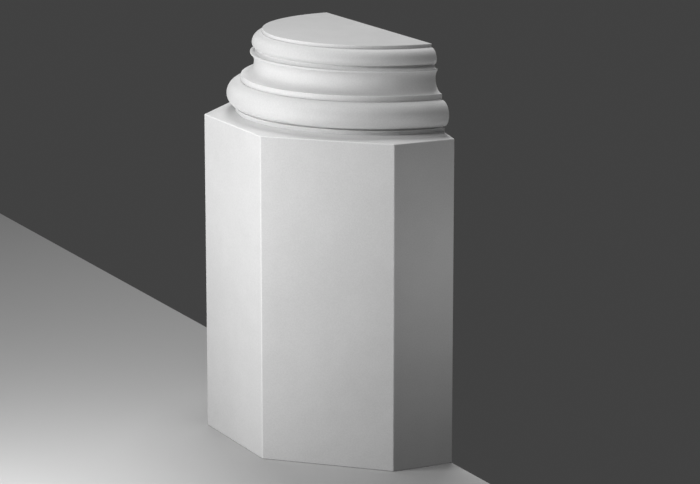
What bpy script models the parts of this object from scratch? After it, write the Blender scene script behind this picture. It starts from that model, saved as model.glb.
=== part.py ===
import bpy
import bmesh
from math import acos, atan2, ceil, copysign, cos, pi, radians, sin, sqrt

# The lower end of a half column that stands against a wall: a half-octagonal plinth with a
# half-round base moulded on it, in one casting that is flat at the back. Lengths are in metres.
# X runs along the wall, -Y points into the room and Z is up. The origin is on the floor, under
# the middle of the casting's box.

# Seat for the half shaft
SEAT_RADIUS = 0.142
SEAT_BAND_HEIGHT = 0.0044

# Upper torus: a quarter round above its widest line, and a tighter one below it
UPPER_TORUS_SWELL = 0.013
UPPER_TORUS_SHOULDER = 0.0129
UPPER_TORUS_TUCK = 0.0058
UPPER_TORUS_UNDERSIDE = 0.0062

# Small cove that flares from the undercut to a flat shelf, which ends in a thin lip
COVE_FLARE = 0.0046
COVE_HEIGHT = 0.0046
SHELF_WIDTH = 0.0035
LIP_HEIGHT = 0.0017

# Scotia: hollow between the lip and the lower band
SCOTIA_INSET = 0.0049
SCOTIA_UPPER_HEIGHT = 0.0101
SCOTIA_FLARE = 0.0163
SCOTIA_LOWER_HEIGHT = 0.0165
SCOTIA_BAND_HEIGHT = 0.0072

# Lower torus: a half round that closes on a narrow groove, with the foot band below it
LOWER_TORUS_LEDGE = 0.0023
LOWER_TORUS_SWELL = 0.0157
LOWER_TORUS_SHOULDER = 0.0163
LOWER_TORUS_TUCK = 0.015
LOWER_TORUS_UNDERSIDE = 0.0153
GROOVE_HEIGHT = 0.0014
GROOVE_DEPTH = 0.004
FOOT_BAND_HEIGHT = 0.0052

# Plinth: the slope that sheds dust from the foot band to the faces, and the faces themselves
SLOPE_HEIGHT = 0.0037
SIDE_LEDGE = 0.0243
FRONT_LEDGE = 0.0226
FRONT_FACE_WIDTH = 0.1635
PLINTH_HEIGHT = 0.400

# How far a facet may leave the true curve
CHORD_ERROR = 0.0001
SHARP_ANGLE = radians(30)

PAINT_COLOUR = (0.84, 0.84, 0.83, 1.0)
PAINT_ROUGHNESS = 0.7


def clear_scene():
    for item in list(bpy.data.objects):
        bpy.data.objects.remove(item, do_unlink=True)


def arc_steps(radius, sweep):
    widest_step = 2 * acos(1 - min(CHORD_ERROR / radius, 1))
    return max(2, ceil(sweep / widest_step))


def add_drop(outline, height):
    radius, level = outline[-1]
    outline.append((radius, level - height))


def add_ledge(outline, width):
    radius, level = outline[-1]
    outline.append((radius + width, level))


def add_arc(outline, width, height, upright_first):
    # Follows the one circle that is upright at its first or its last point and reaches a point
    # that is width farther out (or in, when negative) and height lower.
    radius, level = outline[-1]
    bend = (width ** 2 + height ** 2) / (2 * abs(width))
    sweep = 2 * atan2(abs(width), height)
    steps = arc_steps(bend, sweep)
    for step in range(1, steps + 1):
        turned = sweep * step / steps
        if upright_first:
            across = copysign(bend * (1 - cos(turned)), width)
            down = bend * sin(turned)
        else:
            left = sweep - turned
            across = width - copysign(bend * (1 - cos(left)), width)
            down = height - bend * sin(left)
        outline.append((radius + across, level - down))


def moulding_outline():
    # Points as (radius, level), from the seat's edge down to the foot of the base.
    outline = [(SEAT_RADIUS, 0.0)]
    add_drop(outline, SEAT_BAND_HEIGHT)
    add_arc(outline, UPPER_TORUS_SWELL, UPPER_TORUS_SHOULDER, False)
    add_arc(outline, -UPPER_TORUS_TUCK, UPPER_TORUS_UNDERSIDE, True)
    add_arc(outline, COVE_FLARE, COVE_HEIGHT, True)
    add_ledge(outline, SHELF_WIDTH)
    add_drop(outline, LIP_HEIGHT)
    add_arc(outline, -SCOTIA_INSET, SCOTIA_UPPER_HEIGHT, False)
    add_arc(outline, SCOTIA_FLARE, SCOTIA_LOWER_HEIGHT, True)
    add_drop(outline, SCOTIA_BAND_HEIGHT)
    add_ledge(outline, LOWER_TORUS_LEDGE)
    add_arc(outline, LOWER_TORUS_SWELL, LOWER_TORUS_SHOULDER, False)
    add_arc(outline, -LOWER_TORUS_TUCK, LOWER_TORUS_UNDERSIDE, True)
    add_drop(outline, GROOVE_HEIGHT)
    add_ledge(outline, GROOVE_DEPTH)
    add_drop(outline, FOOT_BAND_HEIGHT)
    foot_level = outline[-1][1]
    lift = PLINTH_HEIGHT + SLOPE_HEIGHT - foot_level
    return [(radius, level + lift) for radius, level in outline]


class Plinth:
    # Half octagon around the column's axis, which stands in the plane of the back. The corner
    # faces lie at 45 degrees.
    def __init__(self, foot_radius):
        self.half_width = foot_radius + SIDE_LEDGE
        self.depth = foot_radius + FRONT_LEDGE
        self.side_depth = self.depth - (self.half_width - FRONT_FACE_WIDTH / 2)
        self.corner_distance = (FRONT_FACE_WIDTH / 2 + self.depth) / sqrt(2)
        self.front_corner = atan2(FRONT_FACE_WIDTH / 2, self.depth)
        self.side_corner = atan2(self.half_width, self.side_depth)

    def reach(self, angle):
        # Distance from the axis to the faces, at an angle from straight ahead.
        turn = abs(angle)
        if turn < self.front_corner:
            return self.depth / cos(turn)
        if turn < self.side_corner:
            return self.corner_distance / cos(turn - pi / 4)
        return self.half_width / sin(turn)


def angle_stations(plinth, widest_radius):
    # Angles across the half turn, and where the plinth's corners and ends are among them.
    limits = [-pi / 2, -plinth.side_corner, -plinth.front_corner]
    limits += [plinth.front_corner, plinth.side_corner, pi / 2]
    stations = [limits[0]]
    corners = [0]
    for start, end in zip(limits, limits[1:]):
        steps = arc_steps(widest_radius, end - start)
        stations += [start + (end - start) * step / steps for step in range(1, steps + 1)]
        corners.append(len(stations) - 1)
    return stations, corners


def build_pedestal():
    outline = moulding_outline()
    plinth = Plinth(outline[-1][0])
    widest_radius = max(radius for radius, level in outline)
    stations, corners = angle_stations(plinth, widest_radius)
    axis_y = plinth.depth / 2
    shape = bmesh.new()

    def place(angle, reach, level):
        return shape.verts.new((reach * sin(angle), axis_y - reach * cos(angle), level))

    # Turned rings, then the plinth's top edge, each from the left end to the right end
    rings = [[place(angle, radius, level) for angle in stations] for radius, level in outline]
    rings.append([place(angle, plinth.reach(angle), PLINTH_HEIGHT) for angle in stations])
    for upper, lower in zip(rings, rings[1:]):
        for left in range(len(stations) - 1):
            shape.faces.new((upper[left], lower[left], lower[left + 1], upper[left + 1]))

    # Upright faces of the plinth, one for each stretch between two of its corners
    feet = [place(stations[corner], plinth.reach(stations[corner]), 0.0) for corner in corners]
    for side, (first, last) in enumerate(zip(corners, corners[1:])):
        top_edge = rings[-1][first:last + 1]
        shape.faces.new([feet[side], feet[side + 1]] + top_edge[::-1])

    # Seat, underside and back
    shape.faces.new(rings[0])
    shape.faces.new(feet[::-1])
    left_edge = [ring[0] for ring in rings] + [feet[0]]
    right_edge = [ring[-1] for ring in rings] + [feet[-1]]
    shape.faces.new(left_edge[::-1] + right_edge)

    bmesh.ops.recalc_face_normals(shape, faces=shape.faces)
    mesh = bpy.data.meshes.new("half_column_pedestal")
    shape.to_mesh(mesh)
    shape.free()
    mesh.shade_smooth()
    mesh.set_sharp_from_angle(angle=SHARP_ANGLE)
    return mesh


def white_paint():
    material = bpy.data.materials.new("white_primed_foam")
    material.use_nodes = True
    shader = material.node_tree.nodes["Principled BSDF"]
    shader.inputs["Base Color"].default_value = PAINT_COLOUR
    shader.inputs["Roughness"].default_value = PAINT_ROUGHNESS
    shader.inputs["Metallic"].default_value = 0.0
    return material


clear_scene()
pedestal = bpy.data.objects.new("half_column_pedestal", build_pedestal())
pedestal.data.materials.append(white_paint())
bpy.context.scene.collection.objects.link(pedestal)
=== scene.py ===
import bpy
import bmesh
from math import atan2, cos, degrees, pi, radians, sin
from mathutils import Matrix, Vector


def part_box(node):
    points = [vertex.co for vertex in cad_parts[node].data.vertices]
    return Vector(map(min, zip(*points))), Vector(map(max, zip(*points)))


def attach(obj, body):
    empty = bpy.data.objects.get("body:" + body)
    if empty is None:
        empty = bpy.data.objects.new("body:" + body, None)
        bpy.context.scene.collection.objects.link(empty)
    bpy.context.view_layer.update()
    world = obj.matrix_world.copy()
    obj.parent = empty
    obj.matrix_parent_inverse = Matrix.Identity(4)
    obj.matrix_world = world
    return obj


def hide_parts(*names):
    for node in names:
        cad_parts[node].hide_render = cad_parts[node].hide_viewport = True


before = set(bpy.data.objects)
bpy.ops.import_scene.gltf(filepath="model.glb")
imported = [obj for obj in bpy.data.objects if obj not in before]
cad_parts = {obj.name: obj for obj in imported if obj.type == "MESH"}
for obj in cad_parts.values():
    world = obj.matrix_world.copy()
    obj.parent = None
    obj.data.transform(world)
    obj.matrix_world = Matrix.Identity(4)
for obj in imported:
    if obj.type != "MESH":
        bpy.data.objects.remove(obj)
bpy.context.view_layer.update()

# A half-column pedestal: half-octagonal plinth with a half-round moulded base, white primed.
# Metres, Z up, the flat back faces +Y. The column's axis stands in the plane of the back.

# Modelling helpers

samePlace = 1e-5                  # points nearer than this lie in one plane or spot


def clearSelection():
    if bpy.context.mode != "OBJECT":
        bpy.ops.object.mode_set(mode="OBJECT")
    bpy.ops.object.select_all(action="DESELECT")


def makeActive(item):
    clearSelection()
    item.select_set(True)
    bpy.context.view_layer.objects.active = item


def openMesh(item, parts="VERT"):
    makeActive(item)
    bpy.ops.object.mode_set(mode="EDIT")
    bpy.ops.mesh.select_mode(type=parts)
    bpy.ops.mesh.select_all(action="DESELECT")


def closeMesh():
    bpy.ops.object.mode_set(mode="OBJECT")


def pick(item, kind, test):
    # Selects what passes the test in the open mesh, by its place or normal, and counts it
    shape = bmesh.from_edit_mesh(item.data)
    bpy.ops.mesh.select_all(action="DESELECT")
    found = [part for part in getattr(shape, kind) if test(part)]
    for part in found:
        part.select_set(True)
    shape.select_flush_mode()
    bmesh.update_edit_mesh(item.data)
    return len(found)


def onLevel(edge, level):
    return all(abs(vertex.co.z - level) < samePlace for vertex in edge.verts)


def onBack(edge, backY):
    return all(abs(vertex.co.y - backY) < samePlace for vertex in edge.verts)


# The casting

pedestal = {
    "seatRadius": 0.142,          # edge of the seat for the half shaft
    "seatLevel": 0.5055,
    "frontFace": 0.1635,          # width of the plinth's front face
    "plinthHeight": 0.400,
    "slope": 0.0037,              # rise from the plinth's edge to the foot of the base
    "slopeCuts": 2,               # rings of points across the slope
    "seatInset": 0.004,           # rim of the seat that is turned with the mouldings
    "mouldings": [                # from the seat down: kind, outwards, downwards
        ("drop", 0.0, 0.0044),
        ("arcInto", 0.013, 0.0129),
        ("arcFrom", -0.0058, 0.0062),
        ("arcFrom", 0.0046, 0.0046),
        ("ledge", 0.0035, 0.0),
        ("drop", 0.0, 0.0017),
        ("arcInto", -0.0049, 0.0101),
        ("arcFrom", 0.0163, 0.0165),
        ("drop", 0.0, 0.0072),
        ("ledge", 0.0023, 0.0),
        ("arcInto", 0.0157, 0.0163),
        ("arcFrom", -0.015, 0.0153),
        ("drop", 0.0, 0.0014),
        ("ledge", 0.004, 0.0),
        ("drop", 0.0, 0.0052),
    ],
    "turnStep": 1.2,              # degrees between sections of the turned part
    "arcStep": 4.5,               # degrees between points of a moulding's arc
    "leastArcSteps": 4,
    "mouldingRound": 0.0004,      # softness of the mouldings' arrises and creases
    "mouldingRoundSteps": 3,
    "plinthRound": 0.0011,        # softness of the plinth's arrises
    "plinthRoundSteps": 4,
    "mergeDistance": 0.000005,
    "smoothAngle": 32,            # degrees, past which two faces meet in a hard edge
    "stripWidth": 0.0007,         # widest face of a rounded arris or crease
    "stripTurn": 8,               # degrees, the least turn from such a face into the next
    "groove": (0.4085, 0.4107),   # levels of the groove, whose creases get no painted shade as its own shade is dark enough
}


def addStart(spot):
    # One vertex to draw the outline from: a small plane, merged at its centre
    bpy.ops.mesh.primitive_plane_add(size=0.01, location=spot)
    outline = bpy.context.object
    outline.name = "pedestalCasting"
    openMesh(outline)
    bpy.ops.mesh.select_all(action="SELECT")
    bpy.ops.mesh.merge(type="CENTER")
    closeMesh()
    bpy.ops.object.transform_apply(location=True, rotation=True, scale=True)
    return outline


def extrudeBy(out, down):
    # The outline is drawn at the left end, in the plane of the back, so outwards is -X
    bpy.ops.mesh.extrude_region_move(TRANSFORM_OT_translate={"value": (-out, 0, -down)})


def drawMouldings(outline, backY):
    radius, level = pedestal["seatRadius"], pedestal["seatLevel"]
    openMesh(outline)
    bpy.ops.mesh.select_all(action="SELECT")
    extrudeBy(pedestal["seatInset"], 0)
    corners = [(radius, level)]
    for kind, out, down in pedestal["mouldings"]:
        if kind in ("drop", "ledge"):
            extrudeBy(out, down)
        else:
            bend = (out ** 2 + down ** 2) / (2 * abs(out))
            side = 1 if out > 0 else -1
            sweep = 2 * atan2(abs(out), down)
            steps = max(pedestal["leastArcSteps"], round(degrees(sweep) / pedestal["arcStep"]))
            if kind == "arcFrom":     # upright where it starts
                centre = (-(radius + side * bend), backY, level)
                turn = -side
            else:                     # upright where it ends
                centre = (-(radius + out - side * bend), backY, level - down)
                turn = side
            bpy.ops.mesh.spin(steps=steps, angle=sweep * turn, center=centre, axis=(0, 1, 0))
        radius, level = radius + out, level - down
        corners.append((radius, level))
    closeMesh()
    return corners


def roundOutline(outline, corners):
    # Where an arc runs upright into the next one the outline is smooth and has no corner
    kinds = [move[0] for move in pedestal["mouldings"]]
    sharp = [corners[0]]
    for number in range(1, len(kinds)):
        if kinds[number - 1:number + 1] != ["arcInto", "arcFrom"]:
            sharp.append(corners[number])

    def atCorner(vertex):
        return any(abs(vertex.co.x + radius) < samePlace and abs(vertex.co.z - level) < samePlace
                   for radius, level in sharp)

    openMesh(outline)
    found = pick(outline, "verts", atCorner)
    bpy.ops.mesh.bevel(offset=pedestal["mouldingRound"], segments=pedestal["mouldingRoundSteps"],
                       profile=0.5, affect="VERTICES", clamp_overlap=True)
    closeMesh()
    return found


def stretchSteps(cornerAngles):
    # Width of each stretch between two corners of the plinth, and its number of sections
    widths = [end - start for start, end in zip(cornerAngles, cornerAngles[1:])]
    return [(width, round(degrees(width) / pedestal["turnStep"])) for width in widths]


def turnMouldings(outline, backY, cornerAngles):
    # One turn for each stretch, so that a section stands at each corner of the plinth
    openMesh(outline)
    bpy.ops.mesh.select_all(action="SELECT")
    for width, steps in stretchSteps(cornerAngles):
        bpy.ops.mesh.spin(steps=steps, angle=-width, center=(0, backY, 0), axis=(0, 0, 1))
    closeMesh()


def addPlinth(halfWidth, depth, backY, cornerAngles):
    height = pedestal["plinthHeight"]
    chamfer = halfWidth - pedestal["frontFace"] / 2
    clearSelection()
    bpy.ops.mesh.primitive_cube_add(size=1, location=(0, backY - depth / 2, height / 2),
                                    scale=(2 * halfWidth, depth, height))
    plinth = bpy.context.object
    bpy.ops.object.transform_apply(location=True, rotation=True, scale=True)
    openMesh(plinth, "EDGE")

    def frontUpright(edge):
        low, high = sorted(edge.verts, key=lambda vertex: vertex.co.z)
        return high.co.z - low.co.z > height / 2 and low.co.y < backY - depth / 2

    pick(plinth, "edges", frontUpright)
    bpy.ops.mesh.bevel(offset=chamfer, segments=1, affect="EDGES", clamp_overlap=False)
    pick(plinth, "faces", lambda face: face.normal.z > 0.9)
    bpy.ops.mesh.delete(type="ONLY_FACE")

    # The top edge gets as many points as the turned part has sections
    def middleAngle(edge):
        middle = (edge.verts[0].co + edge.verts[1].co) / 2
        return atan2(middle.x, backY - middle.y)

    for number, (width, steps) in enumerate(stretchSteps(cornerAngles)):
        start, end = cornerAngles[number:number + 2]
        pick(plinth, "edges", lambda edge: onLevel(edge, height) and not onBack(edge, backY)
             and start < middleAngle(edge) < end)
        bpy.ops.mesh.subdivide(number_cuts=steps - 1)
    closeMesh()
    return plinth


def joinPlinth(casting, plinth, backY):
    height, slope = pedestal["plinthHeight"], pedestal["slope"]
    clearSelection()
    plinth.select_set(True)
    casting.select_set(True)
    bpy.context.view_layer.objects.active = casting
    bpy.ops.object.join()

    # The slope from the foot of the base to the plinth's edge
    openMesh(casting, "EDGE")
    pick(casting, "edges", lambda edge: edge.is_boundary and not onBack(edge, backY)
         and (onLevel(edge, height) or onLevel(edge, height + slope)))
    bpy.ops.mesh.bridge_edge_loops(number_cuts=pedestal["slopeCuts"], interpolation="LINEAR")

    # The seat: its back edge, then the half round
    seat, rim = pedestal["seatLevel"], pedestal["seatRadius"] - pedestal["seatInset"]
    bpy.ops.mesh.select_mode(type="VERT")
    pick(casting, "verts", lambda vertex: abs(vertex.co.z - seat) < samePlace
         and abs(vertex.co.y - backY) < samePlace and abs(vertex.co.x) < rim + samePlace)
    bpy.ops.mesh.edge_face_add()

    def inRim(edge):
        reaches = [(vertex.co.x ** 2 + (vertex.co.y - backY) ** 2) ** 0.5 for vertex in edge.verts]
        return max(reaches) < rim + samePlace

    bpy.ops.mesh.select_mode(type="EDGE")
    pick(casting, "edges", lambda edge: onLevel(edge, seat)
         and (edge.is_boundary or edge.is_wire) and inRim(edge))
    bpy.ops.mesh.edge_face_add()

    # The back, in one flat face down to the floor
    pick(casting, "edges", lambda edge: edge.is_boundary and onBack(edge, backY))
    bpy.ops.mesh.edge_face_add()
    pick(casting, "edges", lambda edge: onLevel(edge, height) and onBack(edge, backY))
    bpy.ops.mesh.dissolve_edges(use_verts=False)
    bpy.ops.mesh.select_all(action="SELECT")
    bpy.ops.mesh.remove_doubles(threshold=pedestal["mergeDistance"])
    bpy.ops.mesh.normals_make_consistent(inside=False)
    closeMesh()


def softenEdges(casting, backY):
    # The crease at the foot of the base, then the plinth's own edges, apart from those around
    # the flat back
    height = pedestal["plinthHeight"]
    foot = height + pedestal["slope"]

    def arris(edge):
        if onBack(edge, backY):
            return False
        levels = sorted(vertex.co.z for vertex in edge.verts)
        upright = levels[1] - levels[0] > height / 2
        return upright or onLevel(edge, height) or onLevel(edge, 0)

    openMesh(casting, "EDGE")
    crease = pick(casting, "edges", lambda edge: onLevel(edge, foot) and not onBack(edge, backY))
    bpy.ops.mesh.bevel(offset=pedestal["mouldingRound"], segments=pedestal["mouldingRoundSteps"],
                       profile=0.5, affect="EDGES")
    found = pick(casting, "edges", arris)
    bpy.ops.mesh.bevel(offset=pedestal["plinthRound"], segments=pedestal["plinthRoundSteps"],
                       profile=0.5, affect="EDGES")
    closeMesh()
    return crease, found


def markPaintedHighlightAndShade(casting):
    # A number on each face for the material: 1 on the arrises, which get a painted highlight, -1
    # in the creases, which get painted shade, else 0. Both are narrow strips that turn sharply,
    # outwards or inwards, into the next face.
    grooveFoot, grooveTop = pedestal["groove"]

    def strip(face, side):
        if side < 0 and grooveFoot < face.calc_center_median().z < grooveTop:
            return False
        width = face.calc_area() / max(edge.calc_length() for edge in face.edges)
        turn = max(edge.calc_face_angle_signed(0) * side for edge in face.edges)
        return width < pedestal["stripWidth"] and turn > radians(pedestal["stripTurn"])

    makeActive(casting)
    bpy.ops.geometry.attribute_add(name="arris", domain="FACE", data_type="FLOAT")
    marked = []
    for side in (-1, 1):
        openMesh(casting, "FACE")
        marked.append(pick(casting, "faces", lambda face: strip(face, side)))
        closeMesh()
        for face in casting.data.polygons:
            if face.select:
                casting.data.attributes["arris"].data[face.index].value = side
    return marked


def finishShading(casting):
    makeActive(casting)
    bpy.ops.object.shade_smooth_by_angle(angle=radians(pedestal["smoothAngle"]))
    bpy.ops.object.modifier_add(type="WEIGHTED_NORMAL")
    casting.modifiers[-1].keep_sharp = True
    bpy.ops.object.modifier_apply(modifier=casting.modifiers[-1].name)


# Sizes that follow from the CAD's box and the front face
boxLow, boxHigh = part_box("half_column_pedestal")
halfWidth, depth, backY = boxHigh.x, boxHigh.y - boxLow.y, boxHigh.y
sideDepth = depth - (halfWidth - pedestal["frontFace"] / 2)
frontCorner = atan2(pedestal["frontFace"] / 2, depth)
sideCorner = atan2(halfWidth, sideDepth)
cornerAngles = [-pi / 2, -sideCorner, -frontCorner, frontCorner, sideCorner, pi / 2]

casting = addStart((-pedestal["seatRadius"] + pedestal["seatInset"], backY,
                    pedestal["seatLevel"]))
corners = drawMouldings(casting, backY)
print("outline corners rounded:", roundOutline(casting, corners))
turnMouldings(casting, backY, cornerAngles)
print("mouldings turned:", len(casting.data.vertices), "vertices")
plinth = addPlinth(halfWidth, depth, backY, cornerAngles)
joinPlinth(casting, plinth, backY)
print("plinth joined:", len(casting.data.polygons), "faces")
print("edges softened at the foot and on the plinth:", softenEdges(casting, backY))
print("faces in creases and on arrises:", markPaintedHighlightAndShade(casting))
finishShading(casting)
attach(casting, "root")
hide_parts("half_column_pedestal")


# Material

primer = {
    "white": (0.815, 0.815, 0.815, 1),     # the primer where it lies evenly
    "thin": (0.765, 0.765, 0.765, 1),      # where it is thin and the foam shows a little
    "edge": (0.91, 0.91, 0.91, 1),         # painted highlight on the arrises
    "crease": (0.66, 0.66, 0.66, 1),       # painted shade in the creases
    "foam": (0.70, 0.69, 0.66, 1),         # cut back and underside, with hardly any primer
    "foamReach": 0.0002,                   # how far inside the back and the underside it shows
    "roughness": (0.52, 0.64),
    "foamRoughness": 0.85,
    "refraction": 1.45,
    "cloud": (7, 6, 0.6),                  # patterns: size per metre, detail, roughness
    "dullness": (63, 4, 0.5),
    "speckle": (560, 2, 0.7),
    "grain": (650, 3, 0.6),
    "wave": (24, 2, 0.4),
    "pore": (260, 4, 0.75),
    "cloudRange": (0.35, 0.62),            # part of a pattern that goes from one tone to the next
    "dullnessRange": (0.3, 0.7),
    "speckleRange": (0.35, 0.65),
    "speckleShare": 0.03,                  # of the colour that it takes or adds
    "grainDepth": 0.00022,
    "waveDepth": 0.0006,
    "poreDepth": 0.0006,
}


def primedFoam():
    material = bpy.data.materials.new("primedFoam")
    material.use_nodes = True
    nodes, links = material.node_tree.nodes, material.node_tree.links
    shader = nodes["Principled BSDF"]
    shader.inputs["Metallic"].default_value = 0
    shader.inputs["IOR"].default_value = primer["refraction"]

    place = nodes.new("ShaderNodeTexCoord")
    spot = nodes.new("ShaderNodeSeparateXYZ")
    links.new(place.outputs["Object"], spot.inputs["Vector"])

    def pattern(name):
        size, detail, rough = primer[name]
        noise = nodes.new("ShaderNodeTexNoise")
        noise.inputs["Scale"].default_value = size
        noise.inputs["Detail"].default_value = detail
        noise.inputs["Roughness"].default_value = rough
        links.new(place.outputs["Object"], noise.inputs["Vector"])
        return noise.outputs["Fac"]

    def reckon(kind, first, second):
        step = nodes.new("ShaderNodeMath")
        step.operation = kind
        for socket, value in zip(step.inputs, (first, second)):
            if isinstance(value, (int, float)):
                socket.default_value = value
            else:
                links.new(value, socket)
        return step.outputs["Value"]

    def grey(value):
        return (value, value, value, 1)

    def ramp(source, positions, colours):
        step = nodes.new("ShaderNodeValToRGB")
        for element, position, colour in zip(step.color_ramp.elements, positions, colours):
            element.position = position
            element.color = colour
        links.new(source, step.inputs["Fac"])
        return step.outputs["Color"]

    def blend(share, first, second, kind="MIX"):
        mix = nodes.new("ShaderNodeMix")
        mix.data_type = "RGBA"
        mix.blend_type = kind
        for name, value in (("Factor_Float", share), ("A_Color", first), ("B_Color", second)):
            socket = next(item for item in mix.inputs if item.identifier == name)
            if isinstance(value, (int, float, tuple)):
                socket.default_value = value
            else:
                links.new(value, socket)
        return next(item for item in mix.outputs if item.identifier == "Result_Color")

    def relief(source, depth, share=1, below=None):
        bump = nodes.new("ShaderNodeBump")
        bump.inputs["Distance"].default_value = depth
        if isinstance(share, (int, float)):
            bump.inputs["Strength"].default_value = share
        else:
            links.new(share, bump.inputs["Strength"])
        links.new(source, bump.inputs["Height"])
        if below:
            links.new(below, bump.inputs["Normal"])
        return bump.outputs["Normal"]

    # The back and the underside lie in their planes; every other surface is primed
    rawBack = reckon("GREATER_THAN", spot.outputs["Y"], backY - primer["foamReach"])
    rawFoot = reckon("LESS_THAN", spot.outputs["Z"], primer["foamReach"])
    raw = reckon("MAXIMUM", rawBack, rawFoot)

    # The arrises get a painted highlight and the creases painted shade, from the number on each
    # face
    edges = nodes.new("ShaderNodeAttribute")
    edges.attribute_name = "arris"
    arris = reckon("MAXIMUM", edges.outputs["Fac"], 0)
    crease = reckon("MAXIMUM", reckon("MULTIPLY", edges.outputs["Fac"], -1), 0)

    tone = ramp(pattern("cloud"), primer["cloudRange"], (primer["thin"], primer["white"]))
    # painted highlight on the arrises
    tone = blend(arris, tone, primer["edge"])
    # painted shade in the creases
    tone = blend(crease, tone, primer["crease"])
    tone = blend(raw, tone, primer["foam"])
    share = primer["speckleShare"]
    speckle = ramp(pattern("speckle"), primer["speckleRange"], (grey(1 - share), grey(1 + share)))
    tone = blend(1.0, tone, speckle, "MULTIPLY")
    links.new(tone, shader.inputs["Base Color"])

    least, most = primer["roughness"]
    dull = ramp(pattern("dullness"), primer["dullnessRange"], (grey(least), grey(most)))
    rough = blend(raw, dull, grey(primer["foamRoughness"]))
    links.new(rough, shader.inputs["Roughness"])

    grain = relief(pattern("grain"), primer["grainDepth"])
    wave = relief(pattern("wave"), primer["waveDepth"], 1, grain)
    pores = relief(pattern("pore"), primer["poreDepth"], raw, wave)
    links.new(pores, shader.inputs["Normal"])
    return material


casting.data.materials.clear()
casting.data.materials.append(primedFoam())
print("material made")


# Floor, light and camera

studio = {
    "floorSize": (8, 3.2),        # along the wall and into the room
    "floorGrey": (0.52, 0.52, 0.52, 1),
    "floorRoughness": 0.8,
    "backdrop": (0.0536, 0.0536, 0.0536, 1),
    "azimuth": 63.3369,           # 0 looks along +Y, 90 along -X
    "elevation": 12.8778,
    "distance": 3.7009,
    "lens": 151.709,
    "sensor": 36,
    "clipEnd": 50,
    "acrossTarget": -0.03368,
    "targetLevel": 0.23396,
    "aimLevel": 0.3,              # of the lamps
    "lamps": {                    # azimuth, level, distance, size, watts
        "highLamp": (-120, 2.2, 0.65, 0.8, 17.4),
        "frontLamp": (-5, 0.65, 0.7, 0.2, 2.11),
        "lowLamp": (15, 0.25, 0.65, 0.26, 2.02),
        "topLamp": (45, 0.85, 0.4, 0.16, 0.518),
        "endLamp": (105, 0.25, 0.45, 0.18, 0.1225),
    },
    "backLamp": (180, 0.25, 0.45, 0.42, 0.32),
    "backSpread": 36,             # degrees, narrow enough to fall on little but the back
}


def addFloor():
    width, reach = studio["floorSize"]
    clearSelection()
    bpy.ops.mesh.primitive_plane_add(size=1, location=(0, backY - reach / 2, 0))
    floor = bpy.context.object
    floor.name = "studioFloor"
    floor.scale = (width, reach, 1)
    bpy.ops.object.transform_apply(location=True, rotation=True, scale=True)
    grey = bpy.data.materials.new("paleFloor")
    grey.use_nodes = True
    shader = grey.node_tree.nodes["Principled BSDF"]
    shader.inputs["Base Color"].default_value = studio["floorGrey"]
    shader.inputs["Roughness"].default_value = studio["floorRoughness"]
    floor.data.materials.append(grey)
    floor.visible_diffuse = False     # throws no light back on the pedestal
    floor.visible_glossy = False
    return floor


def addLamp(name, azimuth, level, distance, size, power):
    # Azimuth is seen from above: 0 stands straight in front of the pedestal, 90 at its right end
    turn = radians(azimuth)
    aim = Vector((0, 0, studio["aimLevel"]))
    spot = Vector((sin(turn) * distance, -cos(turn) * distance, level))
    clearSelection()
    bpy.ops.object.light_add(type="AREA", location=spot)
    lamp = bpy.context.object
    lamp.name = name
    lamp.data.shape = "SQUARE"
    lamp.data.size = size
    lamp.data.energy = power
    lamp.visible_camera = False
    lamp.rotation_euler = (aim - spot).to_track_quat("-Z", "Y").to_euler()
    return lamp


def addCamera():
    turn, lift = radians(studio["azimuth"]), radians(studio["elevation"])
    right = Vector((cos(turn), sin(turn), 0))
    back = Vector((sin(turn) * cos(lift), -cos(turn) * cos(lift), sin(lift)))
    target = right * studio["acrossTarget"] + Vector((0, backY, studio["targetLevel"]))
    clearSelection()
    bpy.ops.object.camera_add(location=target + back * studio["distance"],
                              rotation=(-back).to_track_quat("-Z", "Y").to_euler())
    camera = bpy.context.object
    camera.data.lens = studio["lens"]
    camera.data.sensor_width = studio["sensor"]
    camera.data.clip_end = studio["clipEnd"]
    bpy.context.scene.camera = camera


def addBackdrop():
    world = bpy.data.worlds.new("backdrop")
    world.use_nodes = True
    world.node_tree.nodes["Background"].inputs["Color"].default_value = studio["backdrop"]
    bpy.context.scene.world = world
    bpy.context.scene.view_settings.view_transform = "Standard"


addFloor()
for name, values in studio["lamps"].items():
    addLamp(name, *values)
backLamp = addLamp("backLamp", *studio["backLamp"])
backLamp.data.spread = radians(studio["backSpread"])
addBackdrop()
addCamera()
print("studio set")
